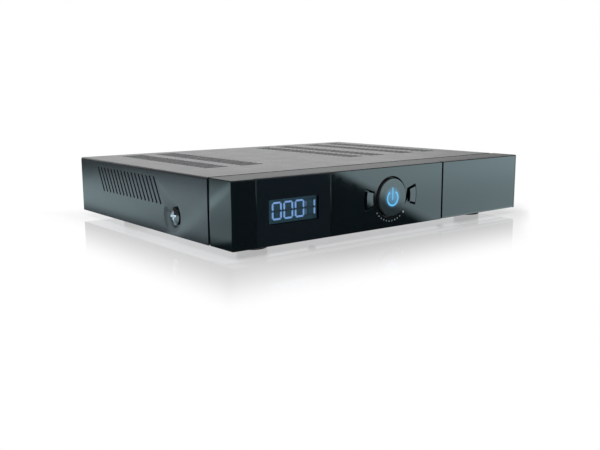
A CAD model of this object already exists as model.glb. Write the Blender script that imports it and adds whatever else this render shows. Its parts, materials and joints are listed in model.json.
"""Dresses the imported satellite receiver: finishes, fine detail, studio and camera.

Metres, +Z up, in the frame's own places. The front faces -Y.
"""

import json
import math
import random

import bmesh
import bpy
from bpy.props import FloatProperty, FloatVectorProperty, PointerProperty
from mathutils import Euler, Matrix, Vector

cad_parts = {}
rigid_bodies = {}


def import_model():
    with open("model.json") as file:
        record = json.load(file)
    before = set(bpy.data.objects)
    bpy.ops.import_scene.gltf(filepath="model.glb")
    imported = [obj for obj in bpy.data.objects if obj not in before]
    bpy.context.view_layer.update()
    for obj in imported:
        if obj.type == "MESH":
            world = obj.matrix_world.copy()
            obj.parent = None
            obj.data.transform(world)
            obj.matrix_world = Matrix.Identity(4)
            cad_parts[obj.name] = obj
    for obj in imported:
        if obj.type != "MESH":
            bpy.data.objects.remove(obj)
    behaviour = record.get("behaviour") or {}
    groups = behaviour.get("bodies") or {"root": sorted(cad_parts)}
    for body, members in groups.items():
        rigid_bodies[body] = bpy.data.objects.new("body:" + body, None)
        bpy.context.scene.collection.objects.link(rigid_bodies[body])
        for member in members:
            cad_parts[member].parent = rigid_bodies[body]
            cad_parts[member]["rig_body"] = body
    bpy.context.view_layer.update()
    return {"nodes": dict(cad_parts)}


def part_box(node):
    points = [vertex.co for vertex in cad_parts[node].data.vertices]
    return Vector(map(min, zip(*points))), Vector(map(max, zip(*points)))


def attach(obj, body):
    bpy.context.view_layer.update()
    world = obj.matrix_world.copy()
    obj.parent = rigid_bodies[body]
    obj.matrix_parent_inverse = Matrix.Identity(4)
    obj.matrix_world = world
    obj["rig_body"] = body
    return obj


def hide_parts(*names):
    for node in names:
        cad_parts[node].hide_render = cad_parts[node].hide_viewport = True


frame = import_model()

bl_info = {
    "name": "Satellite receiver dressing",
    "version": (1, 0, 0),
    "blender": (4, 5, 0),
    "location": "View3D > Sidebar > Receiver",
    "description": "Finishes, fine detail and a studio for the packed receiver",
    "category": "Object",
}


# Places read from the frame

def low(node):
    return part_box(node)[0]


def high(node):
    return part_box(node)[1]


def middle(node):
    return (low(node) + high(node)) / 2


MM = 0.001
FRONT = low("front_bezel").y
BASE = low("front_bezel").z
TOP = high("front_bezel").z
LEFT = low("front_bezel").x
RIGHT = high("front_bezel").x
REAR = high("top_cover").y
BUTTON = middle("power_cap")
CAP_FACE = low("power_cap").y
CAP_REACH = low("power_cap").x

# Fineness of the new round pieces
FINE_STEPS = 96
ROUND_STEPS = 48
SMALL_STEPS = 24
DOT_STEPS = 12
SYMBOL_STEPS = 64
CAP_CORNER_STEPS = 6
CAP_DISH_STEPS = 12

# What counts as one place, as flat, as sharp and as an edge to round
MERGE = 0.002 * MM
RIM_SLACK = 0.02 * MM
FLAT_ANGLE = math.radians(0.4)
SHARP_ANGLE = math.radians(42)
EDGE_ANGLE = math.radians(50)
SHORTEST_EDGE = 2.5
EDGE_STEPS = 2
FULL_TURN = 2 * math.pi
QUARTER = math.pi / 2

# Front bezel and window
BEZEL_DEPTH = 25.4 * MM
BEZEL_RIM = 0.9 * MM
RIM_STEPS = 4
WINDOW_EDGE = 0.35 * MM
PANE_SHIFT = 2.1 * MM
PANE_TINT = (0.86, 0.90, 0.94, 1)
GLOSS_IOR = 1.46

# Power button
CAP_RADIUS = 13.3 * MM
CAP_DISH = 0.08 * MM
CAP_ROUND = 0.35 * MM
CAP_SKIRT = 1.4 * MM
CAP_FLANGE = (2.7 * MM, 3.8 * MM)
CAP_BACK = 0.2 * MM
STEM_DROP = 9.6 * MM
SYMBOL_SUNK = 0.02 * MM
SYMBOL_RADIUS = 5.1 * MM
SYMBOL_STROKE = 1.4 * MM
SYMBOL_DROP = 0.6 * MM
SYMBOL_MOUTH = math.radians(34)
SYMBOL_BAR = (-1.9 * MM, 7.0 * MM)
SYMBOL_BAR_STROKE = 1.0 * MM
SYMBOL_EDGE = 0.08 * MM
GLOW_REACH = (0.0085, 0.0035)
GLOW_STRENGTH = 0.40
DOT_ARC = (math.radians(217), math.radians(302))
DOT_ARC_RADIUS = 16.85 * MM
DOT_COUNT = 10
DOT_RADIUS = 0.60 * MM
LARGE_DOT = (math.radians(317), 0.75 * MM)
DOT_PROUD = 0.02 * MM
KEY_LEAN = math.radians(4.5)

# Digits, with the places of their bars as shares of the width and the height
DIGIT_COUNT = 4
DIGIT_WIDTH = 7.6 * MM
DIGIT_PITCH = 9.07 * MM
DIGIT_HEIGHT = 11.4 * MM
BAR_DEPTH = 0.25 * MM
BAR_MIDDLE = (0.25, 0.75)
BAR_UPRIGHT = (0.075, 0.375)
BAR_LEVEL = 0.35

# Screws: the axis, where the head points, and the finishes of the head and of its cross
SCREWS = {
    "side_screw_left": (0, -1, "dark_screw", "bright_screw"),
    "side_screw_right": (0, 1, "dark_screw", "bright_screw"),
    "rear_screw_left": (1, 1, "black_screw", "black_screw"),
    "rear_screw_middle": (1, 1, "black_screw", "black_screw"),
    "rear_screw_right": (1, 1, "black_screw", "black_screw"),
    "bezel_screw_left": (2, -1, "black_screw", "black_screw"),
    "bezel_screw_right": (2, -1, "black_screw", "black_screw"),
    "main_screw_left": (2, 1, "zinc_steel", "zinc_steel"),
    "main_screw_right": (2, 1, "zinc_steel", "zinc_steel"),
    "supply_screw": (2, 1, "zinc_steel", "zinc_steel"),
}
LARGE_HEAD = 2.2 * MM
SMALL_HEAD = 1.6 * MM
DOME_FALL = 0.55
SHANK_RADIUS = 1.45 * MM
SHANK_DEPTH = 0.22 * MM
SHANK_PITCH = 0.7 * MM
SHANK_ROOT, SHANK_CREST = 0.5, 0.9
CROSS_CORNER = math.radians(15)
CROSS_SHARE = 0.60
CROSS_RINGS = (0.20, 0.35, 0.60)
CROSS_DEPTH = 0.8

# Profiles of turned pieces. Each row gives a radius, as a share of the piece's own and millimetres
# more, and a place along the axis, as the start (0) or the end (1) of the piece and millimetres on.
CAP_STEM = ((0, 0, 0, 0), (0, 1.5, 0, 0), (0, 1.5, 1, -0.2), (0, 1.3, 1, 0), (0, 0, 1, 0))
FOOT = (
    (0, 0, 0, 0.9), (0.35, 0, 0, 0.9), (0.40, 0, 0, 0.1), (0.55, 0, 0, 0), (0.60, 0, 0, 0.35),
    (0.66, 0, 0, 0.35), (0.71, 0, 0, 0), (1, -0.8, 0, 0), (1, -0.25, 0, 0.22), (1, 0, 0, 0.8),
    (1, 0, 0, 4.3), (1, -0.4, 0, 4.7), (0, 2.5, 0, 4.7), (0, 2.5, 1, -1.5), (0, 3.6, 1, -1.5),
    (0, 2.5, 1, 0), (0, 0, 1, 0),
)
AERIAL_FLANGE = ((0, 0, 0, 0), (1, 0, 0, 0), (1, 0, 0, 1.2), (0, 4.4, 0, 1.2))
AERIAL_MOUTH = (
    (0, 4.28, 1, -0.3), (0, 3.98, 1, 0), (0, 2.4, 1, 0), (0, 2.2, 1, -0.2), (0, 2.2, 1, -5), (0, 0, 1, -5),
)
AERIAL_INSULATOR = ((0, 0, 1, -5), (0, 2.15, 1, -5), (0, 2.15, 1, -3.8), (0, 0, 1, -3.8))
AERIAL_CONTACT = (
    (0, 0.45, 1, -4), (0, 0.85, 1, -4), (0, 0.85, 1, -1.6), (0, 0.65, 1, -1.3), (0, 0.45, 1, -1.3),
    (0, 0.45, 1, -4),
)
PHONO_COLLAR = (
    (0, 4.1, 1, -7.95), (0, 5.7, 1, -7.95), (0, 5.7, 1, -7.05), (0, 5.3, 1, -6.65), (0, 4.1, 1, -6.65),
    (0, 4.1, 1, -7.95),
)
PHONO_SLEEVE = (
    (0, 4.1, 1, -6.65), (0, 4.45, 1, -6.65), (0, 4.45, 1, -0.3), (0, 4.15, 1, 0.05), (0, 2.9, 1, 0.05),
    (0, 2.9, 1, -0.4), (0, 4.1, 1, -0.4), (0, 4.1, 1, -6.65),
)
LARGE_CAN = (
    (0, 0, 0, 0), (1, -0.6, 0, 0), (1, 0, 0, 0.6), (1, 0, 0, 2.0), (1, -0.5, 0, 2.6), (1, 0, 0, 3.2),
    (1, 0, 1, -0.8), (1, -0.8, 1, 0), (1, -1.4, 1, -0.1), (1, -1.5, 1, -0.5), (0, 0, 1, -0.5),
)
SMALL_CAN = (
    (0, 0, 0, 0), (1, 0, 0, 0), (1, 0, 0, 0.8), (0.92, 0, 0, 1.1), (1, 0, 0, 1.4), (1, 0, 1, -0.3),
    (0.88, 0, 1, 0), (0, 0, 1, 0),
)
FUSE_CAP = (
    (0, 0, 0, -0.2), (1, -0.3, 0, -0.2), (1, 0, 0, 0.1), (1, 0, 0, 5), (1, -0.2, 0, 5), (1, -0.2, 0, 0.2),
    (0, 0, 0, 0.2),
)

# Aerial sockets
THREAD_PITCH = 0.794 * MM
THREAD_DEPTH = 0.42 * MM
THREAD_CREST = 4.7 * MM
THREAD_START = 2.0 * MM
THREAD_END = 0.8 * MM
THREAD_LAND = (0.4, 0.6)

# Sockets. Each strip of contacts: the node, the way in along Y, the depths, the level that the
# heights count from, the heights, the pitch, the count, the width and the round, in millimetres.
CONTACTS = (
    ("scart_socket", -1, (0.5, 1.6), middle, (-4.1, -1.1), 3.8, 10, 0.9, 0.1),
    ("scart_socket", -1, (0.5, 1.6), middle, (1.1, 4.1), 3.8, 10, 0.9, 0.1),
    ("hdmi_socket", -1, (1.5, 7), middle, (-0.68, -0.55), 1, 10, 0.45, 0),
    ("hdmi_socket", -1, (1.5, 7), middle, (0.55, 0.68), 1, 10, 0.45, 0),
    ("rear_usb_socket", -1, (2, 8), high, (-2.9, -2.75), 2, 4, 1, 0),
    ("front_usb_socket", 1, (2, 8), high, (-2.9, -2.75), 2, 4, 1, 0),
    ("ethernet_jack", -1, (3, 9.5), high, (-2.7, -2.3), 1.02, 8, 0.45, 0.08),
)
JACK_LAMPS = {"green_plastic": -5.7 * MM, "orange_plastic": 5.7 * MM}
JACK_LAMP_HALF = 1.2 * MM
JACK_LAMP_DEPTH = (-0.5 * MM, 0.1 * MM)
JACK_LAMP_HEIGHT = (0.9 * MM, 2.5 * MM)
JACK_LAMP_EDGE = 0.15 * MM
PHONO_PITCH = 13 * MM
PHONO_COLOURS = ("white_plastic", "red_plastic", "yellow_tape", "blue_sleeve")
INLET_PITCH = 8.6 * MM
INLET_PIN = 1.25 * MM
INLET_DEPTH = -6 * MM

# Inside
WINDING_START = 13.0 * MM
WINDING_SLACK = 0.1 * MM
SIDEWAYS = 0.1
CAN_BARE = (1.2 * MM, 1.0 * MM)
CAN_STRIPE = 2 * MM
FUSE_CAP_WALL = 0.12 * MM
BOARD_LIFT = 0.3 * MM
BOARD_MARGIN = 4 * MM
TALLEST = 9 * MM
COMPONENT_GAP = 0.8 * MM
COMPONENT_TRIES = 420
COMPONENT_EDGE = 0.12 * MM
CHIP_BODY, CHIP_INSET = 0.75, 0.5 * MM
TOP_NORMAL = 0.9
COMPONENT_FINISHES = {
    "chip": "black_plastic", "can": "blue_sleeve", "choke": "ferrite", "can top": "aluminium",
}
COMPONENTS = (
    ("chip", 9, 9, 1.8), ("chip", 6, 5, 1.6), ("chip", 12, 6, 1.8), ("can", 6.3, 6.3, 7.5), ("can", 5, 5, 6),
    ("choke", 6, 6, 3.2), ("choke", 2, 1.25, 0.8), ("choke", 3.2, 1.6, 0.9), ("choke", 2, 1.25, 0.8),
    ("choke", 3.2, 1.6, 0.9),
)
OVERHEAD = ("top_cover", "bottom_chassis", "main_board", "supply_board", "front_bezel")

# Sky: its tint, and how its reflection fades along an axis (from, to, first share, last share)
SKY_TINT = (0.96, 0.98, 1, 1)
SKY_FADES = (("Z", (0.26, 0.62, 1, 0.30)), ("X", (-0.45, 0, 0.12, 1)), ("X", (0.68, 0.82, 1, 0.6)))
LAMP_PLACE = Vector((-0.55, -0.35, 1.05))
LAMP_SIZE = (1.0, 0.8)

# Floor: its white and its gloss, which depend on the distance from the case, and the slanting
# place past its right end where both go over to plain white
FLOOR_RADIUS = 6
FLOOR_STRETCH = 1.5
SHADOW_REACH = 0.045
SHADOW_WHITE = 0.62
MIRROR_REACH = (0.025, 0.095)
MIRROR_SHARE = 0.40
MIRROR_ENDS = (0.06, 0.14)
MIRROR_END_SHARE = 0.80
MIRROR_ROUGHNESS = 0.05
WEDGE_TURN = math.radians(55.05)
WEDGE_SOFT = (0.173, 0.186)

# Cards on the floor that only the gloss shows
CARD_LIFT = 0.2 * MM
CARD_TINT = (0.755, 1.0, 1.06, 1)
CARD_HIDDEN_FROM = ("camera", "diffuse", "transmission", "volume_scatter", "shadow")
FRONT_CARD = ((LEFT - 0.5, RIGHT + 0.9), (FRONT - 0.9, FRONT))
EDGE_NEAR = Vector((0.050, -0.136))
EDGE_FAR = Vector((0.243, -0.454))
EDGE_SOFT = (-0.007, 0.015)
DARK_LIGHT = 0.04
FRONT_FADE = (-0.15, -0.42)
NEAR_LIGHT = 2.45
FAR_LIGHT = 3.35
SIDE_CARD = ((LEFT - 3, LEFT), (FRONT, REAR + 3))
SIDE_ROUND = {"scale": (1.6, 1, 0), "offset": (0.224, -0.10, 0)}
SIDE_FADE = (0.20, 0.50)
SIDE_LIGHT = 1.48
SIDE_DIM = 0.12
SIDE_SHARES = (("Y", (-0.01, 0.12), 0.72), ("X", (-0.150, -0.178), 0.2), ("Y", (-0.075, -0.055), 0.1))
STREAK_NEAR = Vector((-0.255, 0.096))
STREAK_FAR = Vector((-0.341, 0.192))
STREAK_SOFT = (0.010, 0.002)
STREAK_LIGHT = 0.9


def edge_frame(near, far):
    """The turn and shift that put a floor edge on the Y axis, with its right-hand side at +X."""
    along = (far - near).normalized()
    turn = QUARTER - math.atan2(along.y, along.x)
    return {"turn": (0, 0, turn), "offset": (*-(Matrix.Rotation(turn, 2) @ near), 0)}


class ReceiverFinishes(bpy.types.PropertyGroup):
    paint: FloatVectorProperty(
        name="Case paint", description="Satin paint of the cover", subtype="COLOR",
        default=(0.022, 0.025, 0.030), min=0, max=1)
    plastic: FloatVectorProperty(
        name="Front plastic", description="Gloss plastic of the bezel, the door and the keys",
        subtype="COLOR", default=(0.0037, 0.0071, 0.0088), min=0, max=1)
    window: FloatVectorProperty(
        name="Window", description="Smoked window over the display", subtype="COLOR",
        default=(0.0068, 0.0112, 0.0150), min=0, max=1)
    light: FloatVectorProperty(
        name="Symbol light", description="Light of the power symbol", subtype="COLOR",
        default=(0.075, 0.350, 0.640), min=0, max=1)
    digits: FloatVectorProperty(
        name="Digit light", description="Light of the digits", subtype="COLOR",
        default=(0.25, 0.42, 0.72), min=0, max=1)
    zinc: FloatVectorProperty(
        name="Zinc", description="Plated steel of the chassis and the screens", subtype="COLOR",
        default=(0.55, 0.56, 0.58), min=0, max=1)
    rubber: FloatVectorProperty(
        name="Rubber", description="Rubber of the feet", subtype="COLOR",
        default=(0.020, 0.020, 0.021), min=0, max=1)
    board: FloatVectorProperty(
        name="Board", description="Solder resist of the circuit boards", subtype="COLOR",
        default=(0.012, 0.085, 0.038), min=0, max=1)


class ReceiverDetail(bpy.types.PropertyGroup):
    sheet_edge: FloatProperty(
        name="Sheet edge", description="Round of a cut edge in sheet steel", subtype="DISTANCE",
        unit="LENGTH", default=0.12 * MM, min=0, max=MM)
    plastic_edge: FloatProperty(
        name="Plastic edge", description="Round of a moulded edge", subtype="DISTANCE",
        unit="LENGTH", default=0.22 * MM, min=0, max=MM)
    small_edge: FloatProperty(
        name="Small edge", description="Round of an edge on a small part", subtype="DISTANCE",
        unit="LENGTH", default=0.10 * MM, min=0, max=MM)


class ReceiverStudio(bpy.types.PropertyGroup):
    camera_place: FloatVectorProperty(
        name="Camera place", description="Where the camera stands", subtype="TRANSLATION",
        unit="LENGTH", default=(-0.38254, -0.48178, 0.09954))
    camera_turn: FloatProperty(
        name="Turn", description="How far the camera looks round from the +Y axis to +X",
        subtype="ANGLE", unit="ROTATION", default=math.radians(38.608))
    camera_dip: FloatProperty(
        name="Dip", description="How far the camera looks down", subtype="ANGLE", unit="ROTATION",
        default=math.radians(10.056))
    camera_roll: FloatProperty(
        name="Roll", description="How far the camera leans", subtype="ANGLE", unit="ROTATION",
        default=math.radians(-0.273))
    lens: FloatProperty(
        name="Lens", description="Focal length on a 36 mm sensor", subtype="DISTANCE_CAMERA",
        default=45.123, min=1)
    floor: FloatVectorProperty(
        name="Floor", description="Colour of the floor", subtype="COLOR",
        default=(0.93, 0.94, 0.94), min=0, max=1)
    sky: FloatProperty(
        name="Sky", description="Strength of the light from all round", default=0.62, min=0)
    key: FloatProperty(
        name="Key lamp", description="Power of the large soft lamp", subtype="POWER", unit="POWER",
        default=5.0, min=0)


# Materials

CLOUD_DETAIL = 3.0
CLOUD_RANGE = (0.3, 0.7)
UPWARD = (0.6, 0.95)


class Nodes:
    """A node tree, with short ways to add to it."""

    def __init__(self, tree):
        self.tree = tree

    def add(self, kind, **values):
        node = self.tree.nodes.new(kind)
        for name, value in values.items():
            setattr(node, name, value)
        return node

    def link(self, source, target):
        self.tree.links.new(source, target)

    def fill(self, node, *values):
        """Gives the node's sockets, in order, a plain value or another node's output each."""
        for socket, value in zip(node.inputs, values):
            if isinstance(value, bpy.types.NodeSocket):
                self.link(value, socket)
            else:
                socket.default_value = value
        return node.outputs[0]

    def maths(self, operation, first, second=0):
        return self.fill(self.add("ShaderNodeMath", operation=operation), first, second)

    def product(self, first, *others):
        for other in others:
            first = self.maths("MULTIPLY", first, other)
        return first

    def ranged(self, value, start, end, first, last, kind="SMOOTHSTEP"):
        """Maps start to end onto first to last."""
        node = self.add("ShaderNodeMapRange", interpolation_type=kind)
        self.link(value, node.inputs["Value"])
        for name, number in zip(("From Min", "From Max", "To Min", "To Max"), (start, end, first, last)):
            node.inputs[name].default_value = number
        return node.outputs["Result"]

    def window(self, value, start, end):
        """0 below start and 1 above end."""
        return self.ranged(value, start, end, 0, 1)

    def between(self, share, start, end):
        """A number that runs from start to end as share runs from 0 to 1."""
        return self.maths("ADD", self.product(share, end - start), start)

    def apart(self, value, place=0):
        """How far a value is from a place, either way."""
        return self.maths("ABSOLUTE", self.maths("SUBTRACT", value, place))

    def axis(self, name, place):
        node = self.add("ShaderNodeSeparateXYZ")
        self.link(place, node.inputs["Vector"])
        return node.outputs[name]

    def mixed(self, share, first, second):
        """A shader between two others."""
        return self.fill(self.add("ShaderNodeMixShader"), share, first, second)

    def seen_by_eye(self):
        """1 for a ray that shows the surface: from the camera, a mirror or glass."""
        rays = self.add("ShaderNodeLightPath").outputs
        shown = self.maths("MAXIMUM", rays["Is Camera Ray"], rays["Is Glossy Ray"])
        return self.maths("MAXIMUM", shown, rays["Is Transmission Ray"])


class Finish(Nodes):
    """One procedural material, built round a Principled shader that reads Object coordinates."""

    def __init__(self, name, colour, roughness, metallic=0.0):
        self.material = bpy.data.materials.new(name)
        self.material.use_nodes = True
        super().__init__(self.material.node_tree)
        self.shader = self.tree.nodes["Principled BSDF"]
        self.output = self.tree.nodes["Material Output"]
        self.colour = (*colour, 1)
        self.set("Base Color", self.colour)
        self.set("Roughness", roughness)
        self.set("Metallic", metallic)
        self.place = self.add("ShaderNodeTexCoord").outputs["Object"]

    def set(self, socket, value):
        self.shader.inputs[socket].default_value = value

    def show(self, shader):
        self.link(shader, self.output.inputs["Surface"])

    def moved(self, scale=(1, 1, 1), offset=(0, 0, 0), turn=(0, 0, 0)):
        """The place on the piece, stretched, shifted and turned."""
        mapping = self.add("ShaderNodeMapping")
        mapping.inputs["Scale"].default_value = scale
        mapping.inputs["Location"].default_value = offset
        mapping.inputs["Rotation"].default_value = turn
        self.link(self.place, mapping.inputs["Vector"])
        return mapping.outputs["Vector"]

    def axis(self, name, place=None):
        return super().axis(name, place or self.place)

    def noise(self, scale, detail, place=None):
        noise = self.add("ShaderNodeTexNoise")
        noise.inputs["Scale"].default_value = scale
        noise.inputs["Detail"].default_value = detail
        self.link(place or self.place, noise.inputs["Vector"])
        return noise.outputs["Fac"]

    def clouds(self, scale, start, end, place=None):
        """Noise whose usual range is spread over start to end."""
        return self.ranged(self.noise(scale, CLOUD_DETAIL, place), *CLOUD_RANGE, start, end, "LINEAR")

    def length(self, vector):
        node = self.add("ShaderNodeVectorMath", operation="LENGTH")
        self.link(vector, node.inputs[0])
        return node.outputs["Value"]

    def facing_up(self):
        """0 on a wall and 1 on a top face."""
        normal = self.add("ShaderNodeNewGeometry").outputs["Normal"]
        return self.window(self.axis("Z", normal), *UPWARD)

    def blend(self, share, first, second):
        """A colour between first and second, each a colour or a socket."""
        node = self.add("ShaderNodeMix", data_type="RGBA")
        self.link(share, node.inputs["Factor"])
        for socket, value in ((node.inputs[6], first), (node.inputs[7], second)):
            if isinstance(value, tuple):
                socket.default_value = value
            else:
                self.link(value, socket)
        return node.outputs[2]

    def vary_colour(self, scale, reach):
        """Clouds of slightly lighter and darker colour."""
        dark, light = (tinted(self.colour, 1 + side * reach) for side in (-1, 1))
        self.link(self.blend(self.clouds(scale, 0, 1), dark, light), self.shader.inputs["Base Color"])

    def vary_roughness(self, scale, start, end, place=None, top=0.0):
        """Clouds of roughness, with top added on the top faces."""
        value = self.clouds(scale, start, end, place)
        if top:
            value = self.maths("ADD", value, self.product(self.facing_up(), top))
        self.link(value, self.shader.inputs["Roughness"])

    def bump(self, height, strength, distance):
        node = self.add("ShaderNodeBump")
        node.inputs["Strength"].default_value = strength
        node.inputs["Distance"].default_value = distance
        self.link(height, node.inputs["Height"])
        self.link(node.outputs["Normal"], self.shader.inputs["Normal"])


def tinted(colour, share):
    return (*(min(1, c * share) for c in colour[:3]), 1)


def satin_paint(name, colour):
    """Baked satin paint on steel: a fine orange peel under a faint sheen."""
    finish = Finish(name, colour, 0.18)
    finish.vary_colour(scale=14, reach=0.04)
    finish.vary_roughness(scale=60, start=0.165, end=0.195, top=0.10)
    finish.bump(finish.noise(scale=1400, detail=1), strength=0.03, distance=0.02 * MM)
    finish.set("IOR", 1.45)
    return finish


def gloss_plastic(name, colour):
    """Piano-black plastic: a clear gloss with the faint swell and rub marks of a moulding."""
    finish = Finish(name, colour, 0.07)
    finish.vary_colour(scale=25, reach=0.05)
    rubs = finish.moved(scale=(1, 8, 1), turn=(0, 0.3, 0.5))
    finish.vary_roughness(scale=300, start=0.045, end=0.085, place=rubs, top=0.30)
    finish.bump(finish.noise(scale=22, detail=0), strength=0.10, distance=0.05 * MM)
    finish.set("IOR", GLOSS_IOR)
    return finish


def lit_cap(name, colour, light):
    """The gloss of the button, with a blue glow round the lit symbol."""
    finish = gloss_plastic(name, colour)
    across = finish.moved(scale=(1, 0, 1), offset=(-BUTTON.x, 0, -BUTTON.z))
    glow = finish.window(finish.length(across), *GLOW_REACH)
    finish.set("Emission Color", (*light, 1))
    finish.link(finish.product(glow, GLOW_STRENGTH), finish.shader.inputs["Emission Strength"])
    return finish


def smoked_window(name, colour):
    """Dark acrylic, clear over the display: a tinted pass-through under the same gloss."""
    finish = gloss_plastic(name, colour)
    clear = finish.fill(finish.add("ShaderNodeBsdfTransparent"), PANE_TINT)
    mirror = finish.add("ShaderNodeBsdfGlossy")
    mirror.inputs["Roughness"].default_value = 0.06
    fresnel = finish.add("ShaderNodeFresnel")
    fresnel.inputs["IOR"].default_value = GLOSS_IOR
    pane = finish.mixed(fresnel.outputs["Fac"], clear, mirror.outputs[0])
    centre = middle("segment_plate")
    reach = (high("segment_plate") - low("segment_plate")) / 2
    inside = finish.product(*(
        finish.maths("LESS_THAN", finish.apart(finish.axis(axis), place), half)
        for axis, place, half in (("X", centre.x - PANE_SHIFT, reach.x), ("Z", centre.z, reach.z))))
    finish.show(finish.mixed(inside, finish.shader.outputs[0], pane))
    return finish


def moulded_plastic(name, colour, roughness):
    """Plain moulded plastic with a fine spark-eroded grain."""
    finish = Finish(name, colour, roughness)
    finish.vary_colour(scale=40, reach=0.10)
    finish.vary_roughness(scale=120, start=roughness - 0.06, end=roughness + 0.06)
    finish.bump(finish.noise(scale=900, detail=2), strength=0.25, distance=0.03 * MM)
    return finish


def ribbon(name, colour):
    """Ribbon cable: fine parallel strands, the first of them red."""
    finish = Finish(name, colour, 0.5)
    strand = finish.maths("PINGPONG", finish.axis("X"), 0.6 * MM)
    groove = finish.window(strand, 0.15 * MM, 0)
    striped = finish.blend(groove, finish.colour, tinted(colour, 0.45))
    first = finish.maths("GREATER_THAN", finish.axis("X"), high("ribbon_cable").x - 1.1 * MM)
    finish.link(finish.blend(first, striped, (0.45, 0.03, 0.02, 1)), finish.shader.inputs["Base Color"])
    finish.vary_roughness(scale=200, start=0.42, end=0.55)
    finish.bump(strand, strength=0.5, distance=0.3 * MM)
    return finish


def rubber(name, colour):
    """Matt rubber with a coarse grain."""
    finish = Finish(name, colour, 0.85)
    finish.vary_colour(scale=90, reach=0.25)
    finish.vary_roughness(scale=200, start=0.75, end=0.92)
    finish.bump(finish.noise(scale=1500, detail=3), strength=0.4, distance=0.03 * MM)
    finish.set("Sheen Weight", 0.15)
    return finish


def plated_steel(name, colour, roughness):
    """Zinc-plated sheet: soft clouds of tone and the rolling marks of the sheet."""
    finish = Finish(name, colour, roughness, 1.0)
    finish.vary_colour(scale=70, reach=0.10)
    rolled = finish.moved(scale=(1, 26, 26))
    finish.vary_roughness(scale=55, start=roughness - 0.08, end=roughness + 0.10, place=rolled)
    finish.bump(finish.noise(scale=160, detail=2, place=rolled), strength=0.05, distance=0.02 * MM)
    return finish


def turned_metal(name, colour, roughness):
    """Nickel or brass with the fine marks of the lathe and of handling."""
    finish = Finish(name, colour, roughness, 1.0)
    finish.vary_colour(scale=220, reach=0.08)
    marks = finish.moved(scale=(1, 30, 1))
    finish.vary_roughness(scale=260, start=roughness - 0.08, end=roughness + 0.10, place=marks)
    finish.bump(finish.noise(scale=320, detail=2, place=marks), strength=0.04, distance=0.01 * MM)
    return finish


def solder_resist(name, colour):
    """A circuit board: copper tracks that show through green resist."""
    finish = Finish(name, colour, 0.36)
    bricks = finish.add("ShaderNodeTexBrick")
    values = {
        "Scale": 130, "Mortar Size": 0.016, "Mortar": (1, 1, 1, 1), "Color1": (0, 0, 0, 1),
        "Color2": (0.15, 0.15, 0.15, 1),
    }
    for socket, value in values.items():
        bricks.inputs[socket].default_value = value
    finish.link(finish.place, bricks.inputs["Vector"])
    tracks = finish.blend(bricks.outputs["Color"], finish.colour, tinted(colour, 2.1))
    finish.link(tracks, finish.shader.inputs["Base Color"])
    finish.vary_roughness(scale=90, start=0.30, end=0.42)
    finish.bump(bricks.outputs["Color"], strength=0.15, distance=0.03 * MM)
    return finish


def lit_surface(name, colour, strength):
    """A light guide: a milky plastic that glows."""
    finish = Finish(name, tuple(c * 0.5 for c in colour), 0.35)
    finish.set("Emission Color", (*colour, 1))
    finish.set("Emission Strength", strength)
    finish.vary_colour(scale=400, reach=0.15)
    finish.bump(finish.noise(scale=800, detail=1), strength=0.05, distance=0.02 * MM)
    return finish


MATERIALS = {}


def make_materials(colours):
    """Every finish by name, made once. A finish has its colour and then its roughness or strength."""
    kinds = {
        satin_paint: {"case_paint": (colours.paint,)},
        gloss_plastic: {"front_plastic": (colours.plastic,)},
        smoked_window: {"window_plastic": (colours.window,)},
        lit_cap: {"cap_plastic": ((0.029, 0.042, 0.045), colours.light)},
        moulded_plastic: {
            "black_plastic": ((0.018, 0.019, 0.020), 0.48),
            "white_plastic": ((0.70, 0.69, 0.65), 0.42),
            "yellow_tape": ((0.75, 0.50, 0.05), 0.35),
            "red_plastic": ((0.50, 0.02, 0.02), 0.38),
            "orange_plastic": ((0.70, 0.20, 0.02), 0.38),
            "green_plastic": ((0.03, 0.40, 0.08), 0.30),
            "blue_sleeve": ((0.015, 0.03, 0.10), 0.30),
            "red_wire": ((0.40, 0.03, 0.02), 0.40),
            "pale_print": ((0.42, 0.46, 0.49), 0.45),
            "grey_print": ((0.17, 0.21, 0.22), 0.45),
            "ferrite": ((0.055, 0.053, 0.052), 0.65),
            "fuse_glass": ((0.60, 0.64, 0.66), 0.10),
        },
        ribbon: {"ribbon_strands": ((0.40, 0.41, 0.43),)},
        rubber: {"rubber": (colours.rubber,)},
        plated_steel: {
            "zinc_steel": (colours.zinc, 0.32),
            "aluminium": ((0.72, 0.73, 0.75), 0.40),
        },
        turned_metal: {
            "nickel": ((0.66, 0.64, 0.58), 0.24),
            "gold": ((0.80, 0.58, 0.22), 0.20),
            "black_screw": ((0.16, 0.16, 0.18), 0.30),
            "dark_screw": ((0.15, 0.16, 0.17), 0.16),
            "bright_screw": ((0.80, 0.80, 0.84), 0.20),
        },
        solder_resist: {"board_green": (colours.board,)},
        lit_surface: {
            "lamp_glass": (colours.light, 0.6),
            "symbol_light": (colours.light, 1.0),
            "digit_light": (colours.digits, 1.0),
            "dim_segment": ((0.032, 0.056, 0.078), 0.5),
            "digit_panel": ((0.033, 0.072, 0.088), 0.6),
        },
    }
    for maker, finishes in kinds.items():
        for name, values in finishes.items():
            MATERIALS[name] = maker(name, *values).material


# Making and finishing meshes

def soften(bm, reach, chosen=lambda edge: True, steps=EDGE_STEPS):
    """Rounds the sharp edges that chosen keeps."""
    edges = [
        edge for edge in bm.edges
        if len(edge.link_faces) == 2 and edge.calc_face_angle() > EDGE_ANGLE and chosen(edge)
        and edge.calc_length() > SHORTEST_EDGE * reach
    ]
    if edges:
        bmesh.ops.bevel(
            bm, geom=edges, offset=reach, offset_type="OFFSET", segments=steps, profile=0.5,
            affect="EDGES", clamp_overlap=False, material=-1)


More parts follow.
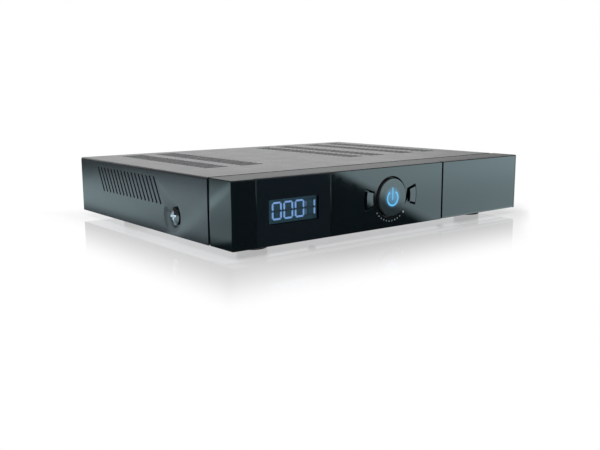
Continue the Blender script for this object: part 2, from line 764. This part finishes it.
def in_scene(name, bm, materials):
    """A new object in the scene with the shape in bm, which is used up."""
    mesh = bpy.data.meshes.new(name)
    bm.to_mesh(mesh)
    bm.free()
    for material in materials:
        mesh.materials.append(material)
    obj = bpy.data.objects.new(name, mesh)
    bpy.context.scene.collection.objects.link(obj)
    return obj


def show(name, bm, materials, body):
    """Makes the mesh a smooth-shaded piece that rides on a body."""
    obj = in_scene(name, bm, [MATERIALS[material] for material in materials])
    obj.data.polygons.foreach_set("use_smooth", [True] * len(obj.data.polygons))
    obj.data.set_sharp_from_angle(angle=SHARP_ANGLE)
    weighted = obj.modifiers.new("even_shading", "WEIGHTED_NORMAL")
    weighted.keep_sharp = True
    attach(obj, body)
    return obj


def detail(name, bm, *materials, slot="hdmi_socket"):
    """A small piece that belongs to the case, in the finish slot of a node."""
    show(name, bm, materials, "case")


def replace(name, bm, materials, node):
    """A piece in place of a CAD node, on its body."""
    obj = show(name, bm, materials, frame["nodes"][node]["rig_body"])
    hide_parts(node)


def merged(node):
    """A bmesh of a CAD node with its doubles merged and its flat facets joined."""
    bm = bmesh.new()
    bm.from_mesh(frame["nodes"][node].data)
    bmesh.ops.remove_doubles(bm, verts=bm.verts, dist=MERGE)
    bmesh.ops.dissolve_limit(
        bm, angle_limit=FLAT_ANGLE, verts=bm.verts, edges=bm.edges, use_dissolve_boundaries=False)
    return bm


def finished(node, material, edge=0.0):
    """The CAD node's own shape with its edges rounded."""
    bm = merged(node)
    if edge:
        soften(bm, edge)
    replace(node + "_finished", bm, [material], node)


def coloured(bm, centre, choose):
    """Sets each face's material from its place about the centre and its normal."""
    for face in bm.faces:
        face.material_index = int(choose(face.calc_center_median() - centre, face.normal))


def round_rim(bm, y, reach):
    """Rounds the outer edge of a shell where it ends at y."""
    inside = Vector((0, y, (BASE + TOP) / 2))

    def outer(edge):
        if any(abs(vert.co.y - y) > RIM_SLACK for vert in edge.verts):
            return False
        return any(
            abs(face.normal.y) < 0.5 and face.normal.dot(edge.verts[0].co - inside) > 0
            for face in edge.link_faces)

    soften(bm, reach, chosen=outer, steps=RIM_STEPS)


def box_mesh(x, y, z, bm=None, edge=0.0):
    """A block between pairs of coordinates, its edges rounded."""
    part = bmesh.new()
    size = Vector((x[1] - x[0], y[1] - y[0], z[1] - z[0]))
    centre = Vector((sum(x), sum(y), sum(z))) / 2
    bmesh.ops.create_cube(part, size=1, matrix=Matrix.Translation(centre) @ Matrix.Diagonal((*size, 1)))
    if edge:
        soften(part, edge)
    return poured(part, bm)


def poured(part, bm):
    """Adds part to bm, where there is one."""
    if bm is None:
        return part
    mesh = bpy.data.meshes.new("part")
    part.to_mesh(mesh)
    part.free()
    bm.from_mesh(mesh)
    bpy.data.meshes.remove(mesh)
    return bm


def shaped(profile, radius, ends, inward=1):
    """A profile from one of the tables at the top, for a piece with this radius and these ends."""
    return [
        (share * radius + more * MM, ends[end] + inward * along * MM) for share, more, end, along in profile]


def spun(part, verts, edges, centre, axis, angle, steps, closed):
    """Spins a section round the axis through centre and points its faces outwards."""
    bmesh.ops.spin(
        part, geom=verts + edges, cent=centre, axis=axis, angle=angle, steps=steps, use_merge=closed,
        use_duplicate=False)
    bmesh.ops.remove_doubles(part, verts=part.verts, dist=MERGE)
    if not closed:
        bmesh.ops.holes_fill(part, edges=[e for e in part.edges if e.is_boundary], sides=0)
    bmesh.ops.recalc_face_normals(part, faces=part.faces)


def turned(profile, centre, axis="Y", steps=FINE_STEPS, bm=None):
    """A profile of (radius, distance along the axis) spun round the axis through centre."""
    part = bmesh.new()
    direction = Vector([float(name == axis) for name in "XYZ"])
    side = Vector((0, 1, 0)) if axis == "X" else Vector((1, 0, 0))
    centre = Vector(centre)
    verts = [part.verts.new(centre + side * r + direction * along) for r, along in profile]
    edges = [part.edges.new(pair) for pair in zip(verts, verts[1:])]
    spun(part, verts, edges, centre, direction, FULL_TURN, steps, closed=True)
    return poured(part, bm)


def swept_bar(centre, radii, span, start, angle, steps, edge):
    """Part of a ring about the Y axis through centre: radii and span give its section."""
    part = bmesh.new()
    section = [(radii[0], span[0]), (radii[1], span[0]), (radii[1], span[1]), (radii[0], span[1])]
    centre = Vector(centre)
    outward = Vector((math.cos(start), 0, math.sin(start)))
    verts = [part.verts.new(centre + outward * r + Vector((0, y - centre.y, 0))) for r, y in section]
    edges = [part.edges.new((a, b)) for a, b in zip(verts, verts[1:] + verts[:1])]
    spun(part, verts, edges, centre, (0, -1, 0), angle, steps, closed=False)
    soften(part, edge)
    return part


class RECEIVER_OT_materials(bpy.types.Operator):
    """Makes the procedural finishes"""

    bl_idname = "receiver.materials"
    bl_label = "Finishes"

    def execute(self, context):
        make_materials(context.scene.receiver_finishes)
        return {"FINISHED"}


class RECEIVER_OT_case(bpy.types.Operator):
    """Dresses the painted cover and the plated chassis"""

    bl_idname = "receiver.case"
    bl_label = "Case"

    def execute(self, context):
        edge = context.scene.receiver_detail.sheet_edge
        finished("top_cover", "case_paint", edge)
        finished("bottom_chassis", "zinc_steel", edge)
        return {"FINISHED"}


class RECEIVER_OT_front(bpy.types.Operator):
    """Dresses the bezel, the window, the door and the printed dots"""

    bl_idname = "receiver.front"
    bl_label = "Front"

    def execute(self, context):
        edge = context.scene.receiver_detail.plastic_edge
        bm = merged("front_bezel")
        round_rim(bm, FRONT + BEZEL_DEPTH, BEZEL_RIM)
        soften(bm, edge)
        replace("front_bezel_finished", bm, ["front_plastic"], "front_bezel")
        finished("display_window", "window_plastic", WINDOW_EDGE)
        finished("front_door", "front_plastic", edge)
        finished("strike_plate", "zinc_steel", edge / 2)
        finished("door_magnet", "nickel", edge / 2)
        first, last = DOT_ARC
        angles = [first + index / (DOT_COUNT - 1) * (last - first) for index in range(DOT_COUNT)]
        self.dots("printed_dots", angles, DOT_RADIUS, "grey_print")
        self.dots("large_dot", LARGE_DOT[:1], LARGE_DOT[1], "pale_print")
        return {"FINISHED"}

    def dots(self, name, angles, radius, material):
        """Plain printed dots on the arc under the power button."""
        bm = bmesh.new()
        profile = [(0, -DOT_PROUD), (radius, -DOT_PROUD), (radius, DOT_PROUD), (0, DOT_PROUD)]
        for angle in angles:
            outward = Vector((math.cos(angle), 0, math.sin(angle)))
            centre = Vector((BUTTON.x, FRONT, BUTTON.z)) + DOT_ARC_RADIUS * outward
            turned(profile, centre, steps=DOT_STEPS, bm=bm)
        detail(name, bm, material, slot="front_bezel")


class RECEIVER_OT_display(bpy.types.Operator):
    """Dresses the display behind the window, with four lit digits"""

    bl_idname = "receiver.display"
    bl_label = "Display"

    def execute(self, context):
        edge = context.scene.receiver_detail.small_edge
        bm = merged("segment_plate")
        front = low("segment_plate").y + BAR_DEPTH
        bottom = middle("segment_plate").z - DIGIT_HEIGHT / 2
        bars = [face for face in bm.faces if face.calc_center_median().y < front]
        left = min(vert.co.x for face in bars for vert in face.verts)
        for face in bm.faces:
            face.material_index = 0
        for face in bars:
            place = face.calc_center_median()
            index = min(int((place.x - left) / DIGIT_PITCH), DIGIT_COUNT - 1)
            across = (place.x - left - index * DIGIT_PITCH) / DIGIT_WIDTH
            up = (place.z - bottom) / DIGIT_HEIGHT
            face.material_index = 1 if self.lit(index, across, up) else 2
        replace("lit_digits", bm, ["digit_panel", "digit_light", "dim_segment"], "segment_plate")
        finished("display_module", "black_plastic", edge)
        finished("infrared_eye", "black_plastic", edge)
        return {"FINISHED"}

    def lit(self, index, across, up):
        """Whether the bar at this place in the digit shines: 0 three times, then 1."""
        height = abs(up - 0.5)
        upright = BAR_UPRIGHT[0] < height < BAR_UPRIGHT[1] and not BAR_MIDDLE[0] < across < BAR_MIDDLE[1]
        if index == DIGIT_COUNT - 1:
            return upright and across > 0.5
        return upright or height > BAR_LEVEL


class RECEIVER_OT_buttons(bpy.types.Operator):
    """Makes the power button with its lit symbol, and dresses the two keys"""

    bl_idname = "receiver.buttons"
    bl_label = "Buttons"

    def execute(self, context):
        self.cap()
        self.symbol()
        for node in ("left_key", "right_key"):
            self.key(node, context.scene.receiver_detail.plastic_edge)
        finished("power_lamp", "lamp_glass")
        return {"FINISHED"}

    def key(self, node, edge):
        """A key whose face leans a little to the right."""
        bm = merged(node)
        face, left = low(node).y, low(node).x
        for vert in bm.verts:
            if vert.co.y < face + RIM_SLACK:
                vert.co.y += (vert.co.x - left) * math.tan(KEY_LEAN)
        soften(bm, edge)
        replace(node + "_finished", bm, ["front_plastic"], node)

    def cap(self):
        """A gently dished cap with a round rim, on a flange and a stem."""
        rear = high("power_symbol").y
        flange = BUTTON.x - CAP_REACH
        flange_front, flange_rear = (FRONT + along for along in CAP_FLANGE)
        rim = CAP_RADIUS - CAP_ROUND
        shares = [step / CAP_DISH_STEPS for step in range(CAP_DISH_STEPS)]
        angles = [QUARTER * step / CAP_CORNER_STEPS for step in range(CAP_CORNER_STEPS + 1)]
        profile = [(share * rim, CAP_FACE + CAP_DISH * (1 - share * share)) for share in shares]
        profile += [(rim + CAP_ROUND * math.sin(a), CAP_FACE + CAP_ROUND * (1 - math.cos(a))) for a in angles]
        skirt, back = CAP_RADIUS - CAP_SKIRT, rear + CAP_BACK
        profile += [
            (CAP_RADIUS, flange_front), (flange, flange_front), (flange, flange_rear),
            (skirt, flange_rear), (skirt, back), (0, back),
        ]
        centre = Vector((BUTTON.x, 0, BUTTON.z))
        bm = turned(profile, centre)
        turned(
            shaped(CAP_STEM, 0, (rear, high("power_cap").y)), (BUTTON.x, 0, BUTTON.z - STEM_DROP),
            steps=SMALL_STEPS, bm=bm)
        coloured(bm, centre, lambda place, normal: (
            math.hypot(place.x, place.z) > rim and place.y > CAP_FACE + CAP_ROUND))
        replace("power_cap_turned", bm, ["cap_plastic", "black_plastic"], "power_cap")

    def symbol(self):
        """A broken ring and a bar, a hair proud of the dished cap."""
        span = (CAP_FACE + SYMBOL_SUNK, high("power_symbol").y)
        radii = (SYMBOL_RADIUS - SYMBOL_STROKE / 2, SYMBOL_RADIUS + SYMBOL_STROKE / 2)
        centre = (BUTTON.x, span[0], BUTTON.z - SYMBOL_DROP)
        bm = swept_bar(
            centre, radii, span, QUARTER + SYMBOL_MOUTH, FULL_TURN - 2 * SYMBOL_MOUTH, SYMBOL_STEPS,
            SYMBOL_EDGE)
        half = SYMBOL_BAR_STROKE / 2
        height = [BUTTON.z + end for end in SYMBOL_BAR]
        box_mesh((BUTTON.x - half, BUTTON.x + half), span, height, bm, SYMBOL_EDGE)
        replace("power_symbol_lit", bm, ["symbol_light"], "power_symbol")


class RECEIVER_OT_feet(bpy.types.Operator):
    """Turns the four rubber feet"""

    bl_idname = "receiver.feet"
    bl_label = "Feet"

    def execute(self, context):
        for node in ("foot_front_left", "foot_front_right", "foot_rear_left", "foot_rear_right"):
            centre = middle(node)
            profile = shaped(FOOT, (high(node).x - low(node).x) / 2, (0, high(node).z))
            bm = turned(profile, (centre.x, centre.y, 0), "Z", ROUND_STEPS)
            replace(node + "_turned", bm, ["rubber"], node)
        return {"FINISHED"}


def cross_reach(angle, reach):
    """How far a cross-shaped recess reaches at an angle from one of its arms."""
    away = abs((angle + QUARTER / 2) % QUARTER - QUARTER / 2)
    if away <= CROSS_CORNER + FLAT_ANGLE:
        return reach / math.cos(away)
    return reach * math.tan(CROSS_CORNER) / math.sin(away)


class RECEIVER_OT_screws(bpy.types.Operator):
    """Makes the screws of the case and the boards, with cross recesses and threads"""

    bl_idname = "receiver.screws"
    bl_label = "Screws"

    def execute(self, context):
        for node, (index, sign, *materials) in SCREWS.items():
            self.screw(node, index, sign, materials)
        return {"FINISHED"}

    def screw(self, node, index, sign, materials):
        """A domed screw along one axis. Its head points to sign."""
        ends = (low(node)[index], high(node)[index])
        tip, top = ends if sign > 0 else reversed(ends)
        centre = middle(node)
        centre[index] = 0
        across, up = (index + 1) % 3, (index + 2) % 3
        radius = (high(node)[across] - low(node)[across]) / 2
        height = LARGE_HEAD if radius > 2 * LARGE_HEAD else SMALL_HEAD
        under = top - sign * height
        rings = [share * radius for share in CROSS_RINGS]

        def dome(reach):
            return top - sign * height * DOME_FALL * (reach / radius) ** 2

        def cross(place):
            return cross_reach(math.atan2(place[up], place[across]), CROSS_SHARE * radius)

        floor = top - sign * height * CROSS_DEPTH
        profile = [(0, floor), (rings[0], floor), (rings[1], top), (rings[2], top)]
        profile += [(radius, dome(radius)), (radius, under), (SHANK_RADIUS, under)]
        turns = max(1, int(abs(under - tip) / SHANK_PITCH))
        for turn in range(turns):
            start = under + (tip - under) * turn / turns
            profile += [
                (SHANK_RADIUS - SHANK_DEPTH, start + (tip - under) * SHANK_ROOT / turns),
                (SHANK_RADIUS, start + (tip - under) * SHANK_CREST / turns),
            ]
        profile += [(SHANK_RADIUS - 2 * SHANK_DEPTH, tip), (0, tip)]
        bm = turned(profile, centre, "XYZ"[index], ROUND_STEPS)
        for vert in bm.verts:
            offset = vert.co - centre
            offset[index] = 0
            if abs(vert.co[index] - top) > height or offset.length < MERGE:
                continue
            edge = cross(offset)
            for ring, reach in zip(rings, (0.5 * edge, edge, (edge + radius) / 2)):
                if abs(offset.length - ring) < MERGE:
                    vert.co += offset * (reach / ring - 1)
                    if ring != rings[0]:
                        vert.co[index] = dome(reach)
                    break
        for face in bm.faces:
            place = face.calc_center_median() - centre
            depth = abs(place[index] - top)
            place[index] = 0
            face.material_index = int(depth < height and place.length < cross(place))
        replace(node + "_threaded", bm, materials, node)


class RECEIVER_OT_rear_sockets(bpy.types.Operator):
    """Dresses the sockets in the rear wall"""

    bl_idname = "receiver.rear_sockets"
    bl_label = "Rear sockets"

    def execute(self, context):
        edge = context.scene.receiver_detail.small_edge
        for side in ("in", "out"):
            self.aerial("aerial_socket_" + side)
            finished("aerial_nut_" + side, "nickel", edge)
        for node in ("phono_block", "scart_socket", "optical_socket"):
            finished(node, "black_plastic", edge)
        for node in ("hdmi_socket", "rear_usb_socket", "ethernet_jack"):
            finished(node, "nickel", edge)
        return {"FINISHED"}

    def aerial(self, node):
        """A threaded socket with a flange and a bore."""
        centre, ends = middle(node), (low(node).y, high(node).y)
        centre.y = 0
        flange = (high(node).x - low(node).x) / 2
        root = THREAD_CREST - THREAD_DEPTH
        profile = shaped(AERIAL_FLANGE, flange, ends)
        place = ends[0] + THREAD_START
        while place + THREAD_PITCH < ends[1] - THREAD_END:
            profile += [(root, place)]
            profile += [(THREAD_CREST, place + THREAD_PITCH * share) for share in THREAD_LAND]
            place += THREAD_PITCH
        profile += [(root, place)] + shaped(AERIAL_MOUTH, flange, ends)
        bm = turned(profile, centre, steps=ROUND_STEPS)
        replace(node + "_threaded", bm, ["nickel"], node)


class RECEIVER_OT_contacts(bpy.types.Operator):
    """Adds the contacts, rings and lamps of the sockets"""

    bl_idname = "receiver.contacts"
    bl_label = "Contacts"

    def execute(self, context):
        self.flat_contacts()
        self.jack_lamps()
        self.phono_rings()
        for side in ("in", "out"):
            self.aerial_core("aerial_socket_" + side)
        return {"FINISHED"}

    def flat_contacts(self):
        """The contact strips of the SCART, HDMI, USB and Ethernet sockets."""
        bm = bmesh.new()
        for node, inward, depths, level, heights, pitch, count, width, edge in CONTACTS:
            mouth = (high if inward < 0 else low)(node).y
            y = sorted(mouth + inward * depth * MM for depth in depths)
            z = [level(node).z + height * MM for height in heights]
            for index in range(count):
                x = middle(node).x + (index - (count - 1) / 2) * pitch * MM
                box_mesh((x - width * MM / 2, x + width * MM / 2), y, z, bm, edge * MM)
        detail("socket_contacts", bm, "gold")

    def jack_lamps(self):
        """Two small lamps under the mouth of the Ethernet jack."""
        node = "ethernet_jack"
        y = [high(node).y + depth for depth in JACK_LAMP_DEPTH]
        z = [low(node).z + height for height in JACK_LAMP_HEIGHT]
        for material, reach in JACK_LAMPS.items():
            x = middle(node).x + reach
            bm = box_mesh((x - JACK_LAMP_HALF, x + JACK_LAMP_HALF), y, z, edge=JACK_LAMP_EDGE)
            detail("jack_lamp_" + material, bm, material)

    def phono_rings(self):
        """A coloured collar and a metal sleeve on each phono socket."""
        corner, ends = low("phono_block"), (0, high("phono_block").y)
        sleeves = bmesh.new()
        for index, material in enumerate(PHONO_COLOURS):
            column, line = (cell + 0.5 for cell in divmod(index, 2))
            centre = (corner.x + column * PHONO_PITCH, 0, corner.z + line * PHONO_PITCH)
            collar = turned(shaped(PHONO_COLLAR, 0, ends), centre, steps=ROUND_STEPS)
            detail("phono_collar_" + material, collar, material)
            turned(shaped(PHONO_SLEEVE, 0, ends), centre, steps=ROUND_STEPS, bm=sleeves)
        detail("phono_sleeves", sleeves, "nickel")

    def aerial_core(self, node):
        """The white insulator and the centre contact in the bore of an aerial socket."""
        centre, ends = middle(node), (0, high(node).y)
        centre.y = 0
        cores = (("_insulator", AERIAL_INSULATOR, "white_plastic"), ("_contact", AERIAL_CONTACT, "gold"))
        for name, profile, material in cores:
            detail(node + name, turned(shaped(profile, 0, ends), centre, steps=SMALL_STEPS), material)


class RECEIVER_OT_mains(bpy.types.Operator):
    """Dresses the mains inlet and the switch"""

    bl_idname = "receiver.mains"
    bl_label = "Mains"

    def execute(self, context):
        edge = context.scene.receiver_detail.small_edge
        bm = merged("mains_inlet")
        coloured(bm, middle("mains_inlet"), lambda place, normal: (
            math.hypot(abs(place.x) - INLET_PITCH / 2, place.z) < INLET_PIN and place.y > INLET_DEPTH))
        soften(bm, edge)
        replace("mains_inlet_finished", bm, ["black_plastic", "nickel"], "mains_inlet")
        finished("switch_frame", "black_plastic", edge)
        finished("rocker", "black_plastic", edge)
        return {"FINISHED"}


class RECEIVER_OT_boards(bpy.types.Operator):
    """Dresses the boards and the parts inside the case"""

    bl_idname = "receiver.boards"
    bl_label = "Inside"

    def execute(self, context):
        edge = context.scene.receiver_detail.small_edge
        finishes = {
            "main_board": "board_green", "supply_board": "board_green", "front_board": "board_green",
            "main_chip": "black_plastic", "chip_heatsink": "aluminium", "supply_heatsink": "aluminium",
            "tuner_can": "zinc_steel", "module_cage": "zinc_steel", "card_reader": "black_plastic",
            "front_usb_socket": "nickel", "fuse": "fuse_glass", "ribbon_cable": "ribbon_strands",
            "supply_harness": "red_wire", "power_switch": "black_plastic", "left_switch": "black_plastic",
            "right_switch": "black_plastic",
        }
        for node, material in finishes.items():
            finished(node, material, edge)
        self.transformer(edge)
        self.capacitor()
        self.fuse_caps()
        return {"FINISHED"}

    def transformer(self, edge):
        """A ferrite core round a winding in yellow tape."""

        def core(place, normal):
            away = abs(place.x)
            return away > WINDING_START or abs(normal.x) < SIDEWAYS and away > WINDING_START - WINDING_SLACK

        bm = merged("transformer")
        coloured(bm, middle("transformer"), core)
        soften(bm, edge)
        replace("transformer_finished", bm, ["ferrite", "yellow_tape"], "transformer")

    def capacitor(self):
        """A can in a blue sleeve with a bare top and a pale stripe."""
        node = "bulk_capacitor"
        centre, ends = middle(node), (low(node).z, high(node).z)
        radius = centre.x - low(node).x
        centre.z = 0

        def part(place, normal):
            if math.hypot(place.x, place.y) < radius - CAN_BARE[0] and place.z > ends[1] - CAN_BARE[1]:
                return 1
            return 2 if place.y < 0 and abs(place.x) < CAN_STRIPE else 0

        bm = turned(shaped(LARGE_CAN, radius, ends), centre, "Z", ROUND_STEPS)
        coloured(bm, centre, part)
        replace(node + "_turned", bm, ["blue_sleeve", "aluminium", "pale_print"], node)

    def fuse_caps(self):
        """The two metal caps of the fuse."""
        bm = bmesh.new()
        centre = middle("fuse")
        radius = centre.x - low("fuse").x + FUSE_CAP_WALL
        centre.y = 0
        for end, inward in ((low("fuse").y, 1), (high("fuse").y, -1)):
            turned(shaped(FUSE_CAP, radius, (end, end), inward), centre, steps=SMALL_STEPS, bm=bm)
        detail("fuse_caps", bm, "nickel")


class RECEIVER_OT_components(bpy.types.Operator):
    """Scatters small chips, cans and chokes over the free places of the boards"""

    bl_idname = "receiver.components"
    bl_label = "Components"

    def execute(self, context):
        base = low("main_chip").z - BOARD_LIFT
        for seed, board in enumerate(("main_board", "supply_board")):
            self.scatter(board, base, random.Random(seed))
        return {"FINISHED"}

    def scatter(self, board, base, source):
        """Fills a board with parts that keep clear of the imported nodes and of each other."""
        taken = [
            (low(node), high(node)) for node in frame["nodes"]
            if node not in OVERHEAD and low(node).z < base + TALLEST and high(node).z > base]
        finishes = list(COMPONENT_FINISHES)
        bm = bmesh.new()
        for _ in range(COMPONENT_TRIES):
            kind, *sides = source.choice(COMPONENTS)
            size = Vector([side * MM for side in sides])
            if source.random() < 0.5:
                size.x, size.y = size.y, size.x
            space = BOARD_MARGIN + max(size.x, size.y) / 2
            x = source.uniform(low(board).x + space, high(board).x - space)
            y = source.uniform(low(board).y + space, high(board).y - space)
            corner = Vector((x - size.x / 2, y - size.y / 2, base))
            far = corner + size
            if any(self.meets(corner, far, box) for box in taken):
                continue
            taken.append((corner, far))
            before = len(bm.faces)
            self.component(kind, corner, far, bm)
            bm.faces.ensure_lookup_table()
            for face in bm.faces[before:]:
                top = kind == "can" and face.normal.z > TOP_NORMAL
                face.material_index = finishes.index("can top" if top else kind)
        detail(board + "_components", bm, *COMPONENT_FINISHES.values(), slot="main_chip")

    def meets(self, corner, far, box):
        """Whether two boxes come closer than the clearance, seen from above."""
        return all(
            corner[axis] - COMPONENT_GAP < box[1][axis] and far[axis] + COMPONENT_GAP > box[0][axis]
            for axis in (0, 1))

    def component(self, kind, corner, far, bm):
        """A ribbed can or a block. A chip is narrower and lower than the space for it."""
        if kind == "can":
            profile = shaped(SMALL_CAN, (far.x - corner.x) / 2, (corner.z, far.z))
            centre = ((corner.x + far.x) / 2, (corner.y + far.y) / 2, 0)
            turned(profile, centre, "Z", SMALL_STEPS, bm)
            return
        body, inset = (CHIP_BODY, CHIP_INSET) if kind == "chip" else (1, 0)
        box_mesh(
            (corner.x + inset, far.x - inset), (corner.y + inset, far.y - inset),
            (corner.z, corner.z + body * (far.z - corner.z)), bm, edge=COMPONENT_EDGE)


class RECEIVER_OT_studio(bpy.types.Operator):
    """Sets the floor, the lamps and the camera"""

    bl_idname = "receiver.studio"
    bl_label = "Studio"

    def execute(self, context):
        studio = context.scene.receiver_studio
        context.scene.view_settings.view_transform = "Standard"
        self.camera(context, studio)
        self.sky(context, studio)
        self.lamp(context, studio)
        self.floor(studio)
        self.card("front_card", *FRONT_CARD, self.front_light)
        self.card("side_card", *SIDE_CARD, self.side_light)
        return {"FINISHED"}

    def camera(self, context, studio):
        camera = bpy.data.cameras.new("camera")
        camera.lens = studio.lens
        camera.sensor_width = 36
        camera.clip_start = 0.01
        obj = bpy.data.objects.new("camera", camera)
        turn = Euler((QUARTER - studio.camera_dip, 0, -studio.camera_turn)).to_matrix()
        obj.rotation_euler = (turn @ Matrix.Rotation(studio.camera_roll, 3, "Z")).to_euler()
        obj.location = studio.camera_place
        context.scene.collection.objects.link(obj)
        context.scene.camera = obj

    def sky(self, context, studio):
        """White where it is seen, and a plain grey light on the object."""
        context.scene.world = bpy.data.worlds.new("studio")
        context.scene.world.use_nodes = True
        sky = Nodes(context.scene.world.node_tree)
        sky.tree.nodes.clear()
        place = sky.add("ShaderNodeTexCoord").outputs["Generated"]
        shares = [sky.ranged(sky.axis(axis, place), *values) for axis, values in SKY_FADES]
        by_camera = sky.add("ShaderNodeLightPath").outputs["Is Camera Ray"]
        white = sky.maths("MAXIMUM", sky.product(*shares), by_camera)
        seen = sky.fill(sky.add("ShaderNodeBackground"), (1, 1, 1, 1), white)
        lit = sky.fill(sky.add("ShaderNodeBackground"), SKY_TINT, studio.sky)
        shown = sky.mixed(sky.seen_by_eye(), lit, seen)
        sky.link(shown, sky.add("ShaderNodeOutputWorld").inputs["Surface"])

    def lamp(self, context, studio):
        """One large soft lamp above the front left."""
        light = bpy.data.lights.new("key_lamp", "AREA")
        light.shape = "RECTANGLE"
        light.size, light.size_y = LAMP_SIZE
        light.energy = studio.key
        lamp = bpy.data.objects.new("key_lamp", light)
        lamp.location = LAMP_PLACE
        lamp.rotation_euler = (-LAMP_PLACE).to_track_quat("-Z", "Y").to_euler()
        lamp.visible_camera = False
        context.scene.collection.objects.link(lamp)

    def floor(self, studio):
        """A pale glossy floor that fades into the white behind."""
        finish = Finish("floor", studio.floor, 0.9)
        finish.set("Specular IOR Level", 0)
        finish.vary_colour(scale=3, reach=0.01)
        halves = (("X", (RIGHT - LEFT) / 2, FLOOR_STRETCH), ("Y", (REAR - FRONT) / 2, 1))
        gaps = (
            finish.product(finish.maths("SUBTRACT", finish.apart(finish.axis(axis)), half), stretch)
            for axis, half, stretch in halves)
        away = finish.maths("MAXIMUM", finish.maths("MAXIMUM", *gaps), 0)
        beyond = finish.window(finish.axis("X", finish.moved(turn=(0, 0, WEDGE_TURN))), *WEDGE_SOFT)
        far = finish.between(finish.window(away, 0, SHADOW_REACH), SHADOW_WHITE, 1)
        seen = finish.product(finish.maths("MAXIMUM", far, beyond), finish.seen_by_eye())
        white = finish.add("ShaderNodeEmission").outputs[0]
        pale = finish.mixed(seen, finish.shader.outputs[0], white)
        mirror = finish.fill(finish.add("ShaderNodeBsdfGlossy"), (1, 1, 1, 1), MIRROR_ROUGHNESS)
        ends = finish.window(finish.apart(finish.axis("X")), *MIRROR_ENDS)
        polish = finish.product(
            finish.between(finish.window(away, *MIRROR_REACH), MIRROR_SHARE, 0),
            finish.between(ends, 1, MIRROR_END_SHARE), finish.between(beyond, 1, 0))
        finish.show(finish.mixed(polish, pale, mirror))
        bm = bmesh.new()
        bmesh.ops.create_circle(bm, cap_ends=True, radius=FLOOR_RADIUS, segments=FINE_STEPS)
        in_scene("floor", bm, [finish.material])

    def card(self, name, x, y, pattern):
        """A card on the floor that shows only in gloss: pattern gives the strength of its light."""
        finish = Finish(name, (0, 0, 0), 1)
        light = finish.fill(finish.add("ShaderNodeEmission"), CARD_TINT, pattern(finish))
        clear = finish.add("ShaderNodeBsdfTransparent").outputs[0]
        under = finish.add("ShaderNodeNewGeometry").outputs["Backfacing"]
        finish.show(finish.mixed(under, light, clear))
        bm = bmesh.new()
        bmesh.ops.create_grid(bm, x_segments=1, y_segments=1, size=1)
        centre = Vector((sum(x) / 2, sum(y) / 2, CARD_LIFT))
        reach = Matrix.Diagonal(((x[1] - x[0]) / 2, (y[1] - y[0]) / 2, 1, 1))
        bmesh.ops.transform(bm, matrix=Matrix.Translation(centre) @ reach, verts=bm.verts)
        card = in_scene(name, bm, [finish.material])
        for ray in CARD_HIDDEN_FROM:
            setattr(card, "visible_" + ray, False)

    def front_light(self, finish):
        """Dark before the window and light before the door, with a slanting edge between."""
        place = finish.moved(**edge_frame(EDGE_FAR, EDGE_NEAR))
        share = finish.window(finish.axis("X", place), *EDGE_SOFT)
        light = finish.between(finish.window(finish.axis("Y"), *FRONT_FADE), NEAR_LIGHT, FAR_LIGHT)
        return finish.maths("ADD", finish.product(share, light), DARK_LIGHT)

    def side_light(self, finish):
        """Grey beside the case, darker at its foot, its front and far out, with one light streak."""
        fade = finish.window(finish.length(finish.moved(**SIDE_ROUND)), *SIDE_FADE)
        shares = (
            finish.between(finish.window(finish.axis(axis), *ends), lowest, 1)
            for axis, ends, lowest in SIDE_SHARES)
        light = finish.product(finish.between(fade, SIDE_LIGHT, SIDE_DIM), *shares)
        beside = finish.axis("X", finish.moved(**edge_frame(STREAK_FAR, STREAK_NEAR)))
        streak = finish.window(finish.apart(beside), *STREAK_SOFT)
        return finish.maths("ADD", light, finish.product(streak, STREAK_LIGHT))


PROPERTIES = {
    "receiver_finishes": ReceiverFinishes,
    "receiver_detail": ReceiverDetail,
    "receiver_studio": ReceiverStudio,
}
OPERATORS = (
    RECEIVER_OT_materials, RECEIVER_OT_case, RECEIVER_OT_front, RECEIVER_OT_display,
    RECEIVER_OT_buttons, RECEIVER_OT_feet, RECEIVER_OT_screws, RECEIVER_OT_rear_sockets,
    RECEIVER_OT_contacts, RECEIVER_OT_mains, RECEIVER_OT_boards, RECEIVER_OT_components,
    RECEIVER_OT_studio,
)


class RECEIVER_PT_sidebar(bpy.types.Panel):
    bl_idname = "RECEIVER_PT_sidebar"
    bl_label = "Receiver"
    bl_space_type = "VIEW_3D"
    bl_region_type = "UI"
    bl_category = "Receiver"

    def draw(self, context):
        for operator in OPERATORS:
            self.layout.operator(operator.bl_idname)
        for name, group in PROPERTIES.items():
            for field in group.__annotations__:
                self.layout.prop(getattr(context.scene, name), field)


def register():
    for group in PROPERTIES.values():
        bpy.utils.register_class(group)
    for cls in (*OPERATORS, RECEIVER_PT_sidebar):
        bpy.utils.register_class(cls)
    for name, group in PROPERTIES.items():
        setattr(bpy.types.Scene, name, PointerProperty(type=group))


def unregister():
    for name in PROPERTIES:
        delattr(bpy.types.Scene, name)
    for cls in (RECEIVER_PT_sidebar, *reversed(OPERATORS)):
        bpy.utils.unregister_class(cls)
    for group in reversed(list(PROPERTIES.values())):
        bpy.utils.unregister_class(group)


def main():
    register()
    for operator in OPERATORS:
        group, name = operator.bl_idname.split(".")
        getattr(getattr(bpy.ops, group), name)()


if __name__ == "__main__":
    main()
